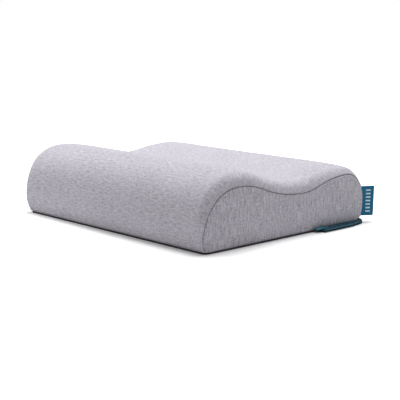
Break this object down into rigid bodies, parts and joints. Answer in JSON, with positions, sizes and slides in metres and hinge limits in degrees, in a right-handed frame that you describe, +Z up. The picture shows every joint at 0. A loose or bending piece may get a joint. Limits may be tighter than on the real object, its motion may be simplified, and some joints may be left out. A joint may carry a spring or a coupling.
{
  "type": "contour cervical pillow",
  "caption": "Two-lobed foam neck pillow in a grey knit cover with a zip along its lower rear edge and a folded side label.",
  "frame": {"origin": "middle of the flat base, on the surface that the pillow stands on, half-way along its length and half-way between the front and rear faces of its section", "axes": "+X along the pillow's length towards the end with the label and the parked zip slider, +Y from the high neck lobe towards the low lobe, +Z up"},
  "size_m": [0.544, 0.4304, 0.127],
  "materials": {
    "memory_foam": "matte",
    "liner_jersey": "matte",
    "grey_knit": "matte",
    "base_knit": "matte",
    "grey_thread": "satin",
    "zip_tape": "matte",
    "teal_thread": "satin",
    "zip_coil": "satin",
    "zip_stop": "satin",
    "zip_metal": "satin",
    "pull_plastic": "matte",
    "label_satin": "satin"
  },
  "bodies": {
    "pillow": {"foam_core": "memory_foam", "liner_tube": "liner_jersey", "liner_end_left": "liner_jersey", "liner_end_right": "liner_jersey", "cover_wrap_panel": "grey_knit", "cover_end_panel_left": "grey_knit", "cover_end_panel_right": "grey_knit", "cover_base_panel": "base_knit", "end_seam_thread_left": "grey_thread", "end_seam_thread_right": "grey_thread", "zip_tape_inner": "zip_tape", "zip_tape_outer": "zip_tape", "zip_coil_inner": "zip_coil", "zip_coil_outer": "zip_coil", "zip_top_stops": "zip_stop", "zip_bottom_stop": "zip_stop", "zip_seam_thread_upper": "teal_thread", "zip_seam_thread_lower": "teal_thread", "woven_label": "label_satin"},
    "slider": {"zip_slider": "zip_metal"},
    "pull_tab": {"zip_pull_tab": "pull_plastic"}
  },
  "joints": [
    {"name": "zip_slide", "type": "slide", "parent": "pillow", "child": "slider", "axis": [0, 1, 0], "range_m": [0, 0.078]},
    {"name": "tab_hinge", "type": "hinge", "parent": "slider", "child": "pull_tab", "pos_m": [0.26, 0.0829, 0.0071], "axis": [-1, 0, 0], "range_deg": [0, 175]}
  ]
}
